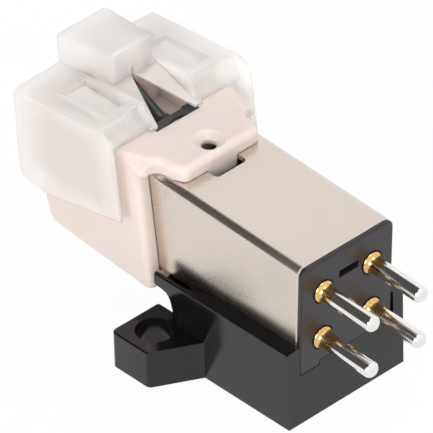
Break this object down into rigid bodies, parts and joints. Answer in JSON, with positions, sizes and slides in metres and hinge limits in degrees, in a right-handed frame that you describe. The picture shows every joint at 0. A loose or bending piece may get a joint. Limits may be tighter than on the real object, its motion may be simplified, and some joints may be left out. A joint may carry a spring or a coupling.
{
  "type": "turntable stylus cartridge",
  "caption": "Half-inch-mount record stylus cartridge: black base, metal can with contact pins, pull-off ivory stylus holder and clip-on translucent guard.",
  "frame": {"origin": "midway between the two mounting holes, on the flat mounting face of the base", "axes": "+X along the line of the two mounting holes, +Y from the contact pins towards the stylus end, +Z away from the mounting face towards the record side"},
  "size_m": [0.0168, 0.0294, 0.0179],
  "materials": {
    "base_black": "glossy",
    "can_metal": "satin",
    "plate_black": "satin",
    "pin_metal": "polished",
    "bobbin_plastic": "satin",
    "copper_wire": "satin",
    "pole_metal": "satin",
    "tab_brass": "satin",
    "holder_ivory": "satin",
    "carrier_black": "satin",
    "sleeve_brass": "satin",
    "damper_rubber": "matte",
    "arm_black": "satin",
    "magnet_dark": "satin",
    "diamond": "polished",
    "guard_frosted": "frosted"
  },
  "bodies": {
    "cartridge": {"mount_base": "base_black", "shield_can": "can_metal", "terminal_plate": "plate_black", "contact_pin_1": "pin_metal", "contact_pin_2": "pin_metal", "contact_pin_3": "pin_metal", "contact_pin_4": "pin_metal", "coil_bobbin_left": "bobbin_plastic", "coil_bobbin_right": "bobbin_plastic", "coil_left": "copper_wire", "coil_right": "copper_wire", "pole_core_left": "pole_metal", "pole_core_right": "pole_metal", "core_yoke": "pole_metal", "ground_tab": "tab_brass"},
    "stylus_unit": {"stylus_holder": "holder_ivory", "cantilever_carrier": "carrier_black", "suspension_sleeve": "sleeve_brass", "rubber_damper": "damper_rubber"},
    "arm": {"cantilever": "arm_black", "magnet": "magnet_dark", "stylus_tip": "diamond"},
    "guard": {"stylus_guard": "guard_frosted"}
  },
  "joints": [
    {"name": "holder_slide", "type": "slide", "parent": "cartridge", "child": "stylus_unit", "axis": [0, 0.9989, 0.0478], "range_m": [0, 0.012]},
    {"name": "arm_flex", "type": "hinge", "parent": "stylus_unit", "child": "arm", "pos_m": [0, 0.0032, 0.01195], "axis": [1, 0, 0], "range_deg": [-2.5, 1.5], "stiffness_Nm_per_rad": 0.0038},
    {"name": "guard_lift", "type": "slide", "parent": "stylus_unit", "child": "guard", "axis": [0, 0.0995, 0.995], "range_m": [0, 0.01]}
  ]
}
